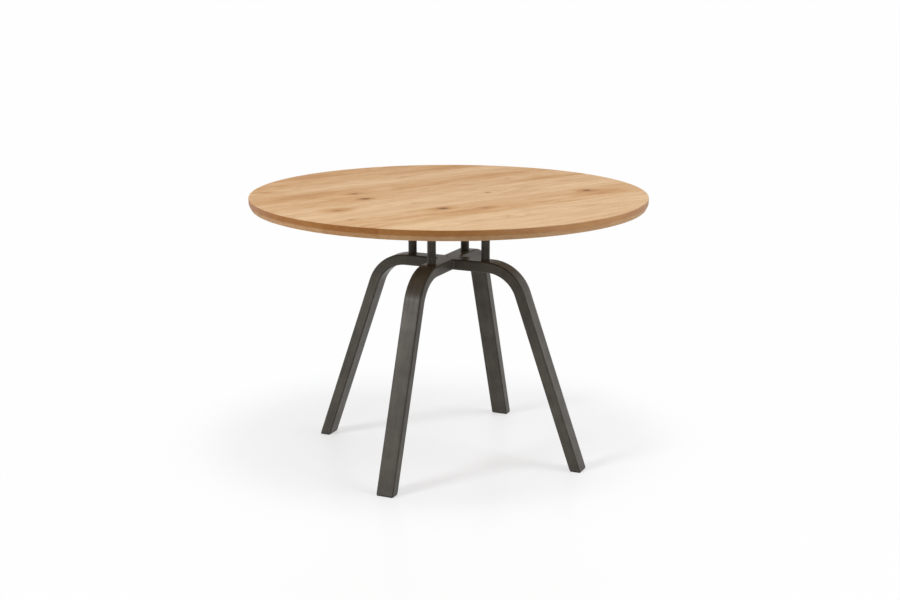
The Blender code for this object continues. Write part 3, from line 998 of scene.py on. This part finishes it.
def fastener_pattern():
    """Geometry Nodes tree that stands a piece at every fastener of the mounting plate."""
    tree = bpy.data.node_groups.new("fastener_pattern", "GeometryNodeTree")
    add = partial(add_node, tree)
    sockets = {}
    for name, kind in (
            ("Piece", "NodeSocketObject"), ("Finish", "NodeSocketMaterial"), ("Reach", "NodeSocketFloat"),
            ("Spread", "NodeSocketFloat"), ("Height", "NodeSocketFloat"), ("Sides", "NodeSocketInt")):
        sockets[name] = tree.interface.new_socket(name, in_out="INPUT", socket_type=kind).identifier
    tree.interface.new_socket("Geometry", in_out="OUTPUT", socket_type="NodeSocketGeometry")
    given = add("NodeGroupInput", output=None).outputs
    ends = []
    for half in (-0.5, 0.5):
        aside = add("ShaderNodeMath", {0: given["Spread"], 1: half}, operation="MULTIPLY")
        ends.append(add("ShaderNodeCombineXYZ", {0: given["Reach"], 1: aside, 2: given["Height"]}))
    pair = add("GeometryNodeMeshLine", {
        "Count": 2, "Start Location": ends[0], "Offset": ends[1]}, mode="END_POINTS")
    centre = add("GeometryNodePoints", {"Count": given["Sides"]})
    number = add("GeometryNodeInputIndex")
    step = add("ShaderNodeMath", {0: 2 * math.pi, 1: given["Sides"]}, operation="DIVIDE")
    angle = add("ShaderNodeMath", {0: number, 1: step}, operation="MULTIPLY")
    euler = add("ShaderNodeCombineXYZ", {2: angle})
    turn = add("FunctionNodeEulerToRotation", {0: euler})
    pairs = add("GeometryNodeInstanceOnPoints", {"Points": centre, "Instance": pair, "Rotation": turn})
    places = add("GeometryNodeRealizeInstances", {0: pairs})
    piece = add("GeometryNodeObjectInfo", {"Object": given["Piece"]}, output="Geometry")
    stood = add("GeometryNodeInstanceOnPoints", {"Points": places, "Instance": piece})
    solid = add("GeometryNodeRealizeInstances", {0: stood})
    dressed = add("GeometryNodeSetMaterial", {"Geometry": solid, "Material": given["Finish"]})
    add("NodeGroupOutput", {0: dressed}, output=None)
    return tree, sockets


def repeat_on_plate(name, piece, material, height):
    """One mesh with a copy of the piece at every fastener."""
    tree, sockets = fastener_pattern()
    made = add_object(name, bpy.data.meshes.new(name))
    pattern = made.modifiers.new("pattern", "NODES")
    pattern.node_group = tree
    values = {
        "Piece": piece, "Finish": material, "Reach": SCREW_REACH, "Spread": SCREW_SPREAD,
        "Height": height, "Sides": len(SIDES)}
    for key, value in values.items():
        pattern[sockets[key]] = value
    apply_modifiers(made)
    discard(piece)
    bpy.data.node_groups.remove(tree)
    return made


# Shapes of the stage

def camera_ways(stage):
    """Level directions: away from the camera, and to its right."""
    ahead = Vector((-math.sin(stage.camera_heading), math.cos(stage.camera_heading), 0.0))
    return ahead, Vector((ahead.y, -ahead.x, 0.0))


def white_studio(stage):
    """The room's light: dimmer overhead, a card at each side and a white backdrop behind the table."""
    world = bpy.data.worlds.new("studio")
    world.use_nodes = True
    world.node_tree.nodes.clear()
    add = partial(add_node, world.node_tree)
    ahead, right = camera_ways(stage)
    way = add("ShaderNodeTexCoord", output="Generated")
    up = add("ShaderNodeSeparateXYZ", {0: way}, output="Z")
    high = add("ShaderNodeMath", {0: up, 1: 0.0}, operation="MAXIMUM")
    steep = add("ShaderNodeMath", {0: high, 1: 2.0}, operation="POWER")
    strength = add("ShaderNodeMapRange", {"Value": steep, "To Min": stage.horizon, "To Max": stage.zenith})
    # Each screen fades in between two cosines of the angle to its middle
    for side, edge, full, bright in (
            (-right, 0.50, 0.95, stage.left_card), (right, 0.50, 0.95, stage.right_card),
            (ahead, -0.10, 0.90, stage.backdrop)):
        toward = add("ShaderNodeVectorMath", {0: way, 1: side}, output="Value", operation="DOT_PRODUCT")
        screen = add("ShaderNodeMapRange", {
            "Value": toward, "From Min": edge, "From Max": full}, interpolation_type="SMOOTHSTEP")
        strength = add("ShaderNodeMix", {0: screen, 2: strength, 3: bright}, data_type="FLOAT")
    # Where it is seen, straight or in a reflection, the room is white all round
    strength = add("ShaderNodeMix", {0: seen_ray(add), 2: strength, 3: stage.backdrop}, data_type="FLOAT")
    room = add("ShaderNodeBackground", {"Color": (1.0, 1.0, 1.0, 1.0), "Strength": strength})
    add("ShaderNodeOutputWorld", {"Surface": room}, output=None)
    return world


def studio_lamp(name, kind, place, power):
    """A lamp that faces the table and stays out of the picture."""
    lamp = bpy.data.lights.new(name, kind)
    lamp.energy = power
    made = add_object(name, lamp)
    made.location = place
    made.rotation_euler = (LAMP_AIM - place).to_track_quat("-Z", "Y").to_euler()
    made.visible_camera = False
    return lamp


def softbox(name, place, wide, tall, power):
    """A rectangular lamp with an even, soft light."""
    lamp = studio_lamp(name, "AREA", Vector(place), power)
    lamp.shape = "RECTANGLE"
    lamp.size = wide
    lamp.size_y = tall


def photo_camera(stage):
    """The camera that took the photo."""
    lens = bpy.data.cameras.new("camera")
    lens.sensor_fit = "HORIZONTAL"
    lens.sensor_width = stage.sensor
    lens.lens = stage.lens
    lens.clip_end = 200.0
    camera = add_object("camera", lens)
    camera.location = stage.camera_place
    camera.rotation_euler = (stage.camera_pitch, 0.0, stage.camera_heading)
    return camera


# Operators

class ROUND_TABLE_OT_oak_top(bpy.types.Operator):
    """Make the nine oak staves of the round top"""
    bl_idname = "round_table.oak_top"
    bl_label = "Oak top"

    def execute(self, context):
        oak = context.scene.oak_top
        direction = Vector((-math.sin(oak.grain_angle), math.cos(oak.grain_angle), 0.0))
        lines = glue_lines(direction)
        radius = (INSERT_HIGH.x - INSERT_LOW.x) / 2 + CLEARANCE
        pockets = column_cutter("pockets", radius, TOP_UNDERSIDE - CUTTER_EXCESS, INSERT_HIGH.z + CLEARANCE)
        wood = finish("oiled_oak", oiled_oak, oak)
        for number, (start, end) in enumerate(zip([None] + lines, lines + [None]), 1):
            form = round_blank(oak)
            if start is not None:
                saw(form, direction, start, 1)
            if end is not None:
                saw(form, direction, end, -1)
            stave = make_object(f"oak_stave_{number}", form, wood)
            cut(stave, pockets)
            share, pith, depth = BOARDS[number - 1]
            mesh = stave.data
            count = len(mesh.vertices)
            point_values(mesh, "heart", "FLOAT_VECTOR", [(0.0, pith, TABLE_TOP - depth)] * count)
            # Any number far from its neighbour's gives a board noise of its own
            point_values(mesh, "board", "FLOAT", [number * 3.7] * count)
            point_values(mesh, "brown_share", "FLOAT", [share] * count)
            settle(stave, "oak", f"top_stave_{number}")
        discard(pockets)
        return {"FINISHED"}


class ROUND_TABLE_OT_bent_legs(bpy.types.Operator):
    """Make the four bent tube legs that meet in the cross"""
    bl_idname = "round_table.bent_legs"
    bl_label = "Bent legs"

    def execute(self, context):
        base = context.scene.tube_base
        coat = finish("mica_powder_coat", mica_coat, base)
        reach = base.drain_offset / math.sqrt(2)
        profile = [
            (base.drain_diameter / 2, z) for z in (CROSS_TOP - 2 * base.wall, CROSS_TOP + CUTTER_EXCESS)]
        drain = make_object("drain", turned(profile, sides=40, centre=(-reach, reach)))
        for side, angle in SIDES.items():
            form = bmesh.new()
            nearness = []
            run = []
            outer = leg_rings(form, base, 0.0, nearness, run)
            inner = leg_rings(form, base, base.wall, nearness, run)
            skin(form, outer + inner[::-1], closed=True)
            form.transform(Matrix.Rotation(angle, 4, "Z"))
            leg = make_object(f"bent_leg_{side}", form, coat)
            # The coat lays painted shade on the corners by this nearness
            point_values(leg.data, "corner", "FLOAT", nearness)
            point_values(leg.data, "run", "FLOAT_VECTOR", run)
            if side in ("left", "back"):
                cut(leg, drain)
            settle(leg, "frame_steel", f"leg_{side}")
        discard(drain)
        return {"FINISHED"}


class ROUND_TABLE_OT_posts(bpy.types.Operator):
    """Make the four posts with the fillet welds that hold them"""
    bl_idname = "round_table.posts"
    bl_label = "Posts"

    def execute(self, context):
        base = context.scene.tube_base
        coat = finish("mica_powder_coat", mica_coat, base)
        # Painted shade on the posts, which stand under the top between the arms, darkest at their feet
        painted_shade_at_foot = 1.15
        gain = 0.45
        height = PLATE_LOW.z - CROSS_TOP
        for side, angle in SIDES.items():
            form = welded_post(base)
            form.transform(Matrix.Rotation(angle, 4, "Z"))
            post = make_object(f"welded_post_{side}", form, coat, smooth=math.radians(40.0))
            places = [vertex.co for vertex in post.data.vertices]
            painted_shade_level = [painted_shade_at_foot - gain * (place.z - CROSS_TOP) / height for place in places]
            point_values(post.data, "run", "FLOAT_VECTOR", places)
            point_values(post.data, "corner", "FLOAT", painted_shade_level)
            settle(post, "frame_steel", f"post_{side}")
        return {"FINISHED"}


class ROUND_TABLE_OT_corner_welds(bpy.types.Operator):
    """Make the weld beads in the four inner corners of the cross"""
    bl_idname = "round_table.corner_welds"
    bl_label = "Corner welds"

    def execute(self, context):
        base = context.scene.tube_base
        coat = finish("mica_powder_coat", mica_coat, base)
        form = bmesh.new()
        for angle in SIDES.values():
            weld_bead(form, angle + math.pi / 4, base)
        welds = make_object("corner_welds", form, coat, smooth=math.radians(50.0))
        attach(welds, "root")
        return {"FINISHED"}


class ROUND_TABLE_OT_mounting_plate(bpy.types.Operator):
    """Make the mounting plate with its rounded corners, broken edges and holes"""
    bl_idname = "round_table.mounting_plate"
    bl_label = "Mounting plate"

    def execute(self, context):
        hardware = context.scene.hardware
        coat = finish("mica_powder_coat", mica_coat, context.scene.tube_base)
        form = bmesh.new()
        width = PLATE_HIGH.x - PLATE_LOW.x
        outline = rounded_rectangle(width, width, hardware.plate_corner, steps=12)
        levels = (PLATE_LOW.z, PLATE_HIGH.z)
        skin(form, [add_ring(form, [Vector((x, y, z)) for x, y, _ in outline]) for z in levels])
        plate = make_object("welded_plate", form, coat)
        holes = column_cutter(
            "holes", hardware.plate_hole / 2, PLATE_LOW.z - CUTTER_EXCESS, PLATE_HIGH.z + CUTTER_EXCESS)
        cut(plate, holes)
        discard(holes)
        edges = plate.modifiers.new("broken_edges", "BEVEL")
        edges.width = hardware.plate_edge
        edges.segments = 2
        edges.limit_method = "ANGLE"
        edges.angle_limit = math.radians(50.0)
        edges.harden_normals = True
        apply_modifiers(plate)
        settle(plate, "frame_steel", "mounting_plate")
        return {"FINISHED"}


class ROUND_TABLE_OT_glides(bpy.types.Operator):
    """Make the plastic glides in the feet"""
    bl_idname = "round_table.glides"
    bl_label = "Glides"

    def execute(self, context):
        base = context.scene.tube_base
        hardware = context.scene.hardware
        plastic = finish("moulded_polyethylene", moulded_polyethylene, hardware)
        inset = hardware.glide_inset
        plug = base.wall + CLEARANCE
        lead = hardware.glide_lead
        levels = [(inset + away, GLIDE_LOW.z + up) for away, up in fillet_steps(hardware.glide_round, 4)]
        levels += [(inset, FOOT), (plug, FOOT), (plug, GLIDE_HIGH.z - lead), (plug + lead, GLIDE_HIGH.z)]
        for side, angle in SIDES.items():
            form = bmesh.new()
            rings = []
            for inward, z in levels:
                points = [foot_point(base, a, o, z) for a, o, _ in tube_outline(base, inward)]
                rings.append(add_ring(form, points))
            skin(form, rings)
            form.transform(Matrix.Rotation(angle, 4, "Z"))
            glide = make_object(f"foot_glide_{side}", form, plastic)
            settle(glide, "glide_plastic", f"glide_{side}")
        return {"FINISHED"}


class ROUND_TABLE_OT_fasteners(bpy.types.Operator):
    """Make the screws and washers under the plate and finish the inserts in the oak"""
    bl_idname = "round_table.fasteners"
    bl_label = "Fasteners"

    def execute(self, context):
        hardware = context.scene.hardware
        numbers = range(1, FASTENER_COUNT + 1)
        zinc = finish("zinc_plated_steel", zinc_plate, hardware)
        screw = make_object("screw", button_screw(hardware), zinc)
        screws = repeat_on_plate("button_screws", screw, zinc, WASHER_LOW.z)
        settle(screws, "fastener_steel", *(f"screw_{number}" for number in numbers))
        washer = make_object("washer", plain_washer(hardware), zinc)
        washers = repeat_on_plate("plain_washers", washer, zinc, WASHER_LOW.z)
        settle(washers, "fastener_steel", *(f"washer_{number}" for number in numbers))
        brass = finish("turned_brass", turned_brass, hardware)
        for number in numbers:
            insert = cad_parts[f"insert_{number}"]
            insert.data.materials.clear()
            insert.data.materials.append(brass)
        return {"FINISHED"}


class ROUND_TABLE_OT_stage(bpy.types.Operator):
    """Make the floor, the studio light and the camera"""
    bl_idname = "round_table.stage"
    bl_label = "Stage"

    def execute(self, context):
        scene = context.scene
        stage = scene.stage
        scene.view_settings.view_transform = "Standard"
        form = bmesh.new()
        bmesh.ops.create_circle(form, cap_ends=True, segments=96, radius=FLOOR_RADIUS)
        floor = make_object("floor", form, floor_paint(stage))
        scene.world = white_studio(stage)
        ahead, right = camera_ways(stage)
        overhead_height = 5.0
        for name, (sideways, forward) in OVERHEAD_LAMPS.items():
            place = Vector((0.0, 0.0, 1.0)) + right * sideways + ahead * forward
            lamp = studio_lamp(name, "SUN", place * overhead_height, stage.overhead)
            lamp.angle = stage.overhead_spread
        softbox("front_softbox", stage.front_place, stage.front_width, stage.front_height, stage.front_power)
        softbox("right_softbox", stage.right_place, stage.right_width, stage.right_height, stage.right_power)
        scene.camera = photo_camera(stage)
        return {"FINISHED"}


class ROUND_TABLE_PT_pieces(bpy.types.Panel):
    """Sidebar panel that lists the table's pieces"""
    bl_idname = "ROUND_TABLE_PT_pieces"
    bl_label = "Round table"
    bl_space_type = "VIEW_3D"
    bl_region_type = "UI"
    bl_category = "Round table"

    def draw(self, context):
        for operator in OPERATORS:
            self.layout.operator(operator.bl_idname)
        for name, group in SETTINGS.items():
            box = self.layout.box()
            box.label(text=group.__doc__)
            for key in group.__annotations__:
                box.prop(getattr(context.scene, name), key)


SETTINGS = {
    "oak_top": OakTopSettings,
    "tube_base": TubeBaseSettings,
    "hardware": HardwareSettings,
    "stage": StageSettings,
}
OPERATORS = (
    ROUND_TABLE_OT_oak_top,
    ROUND_TABLE_OT_bent_legs,
    ROUND_TABLE_OT_posts,
    ROUND_TABLE_OT_corner_welds,
    ROUND_TABLE_OT_mounting_plate,
    ROUND_TABLE_OT_glides,
    ROUND_TABLE_OT_fasteners,
    ROUND_TABLE_OT_stage,
)


def register():
    for name, group in SETTINGS.items():
        bpy.utils.register_class(group)
        setattr(bpy.types.Scene, name, PointerProperty(type=group))
    for operator in OPERATORS:
        bpy.utils.register_class(operator)
    bpy.utils.register_class(ROUND_TABLE_PT_pieces)


def unregister():
    bpy.utils.unregister_class(ROUND_TABLE_PT_pieces)
    for operator in reversed(OPERATORS):
        bpy.utils.unregister_class(operator)
    for name, group in SETTINGS.items():
        delattr(bpy.types.Scene, name)
        bpy.utils.unregister_class(group)


def main():
    register()
    bpy.ops.round_table.oak_top()
    bpy.ops.round_table.bent_legs()
    bpy.ops.round_table.posts()
    bpy.ops.round_table.corner_welds()
    bpy.ops.round_table.mounting_plate()
    bpy.ops.round_table.glides()
    bpy.ops.round_table.fasteners()
    bpy.ops.round_table.stage()


if __name__ == "__main__":
    main()
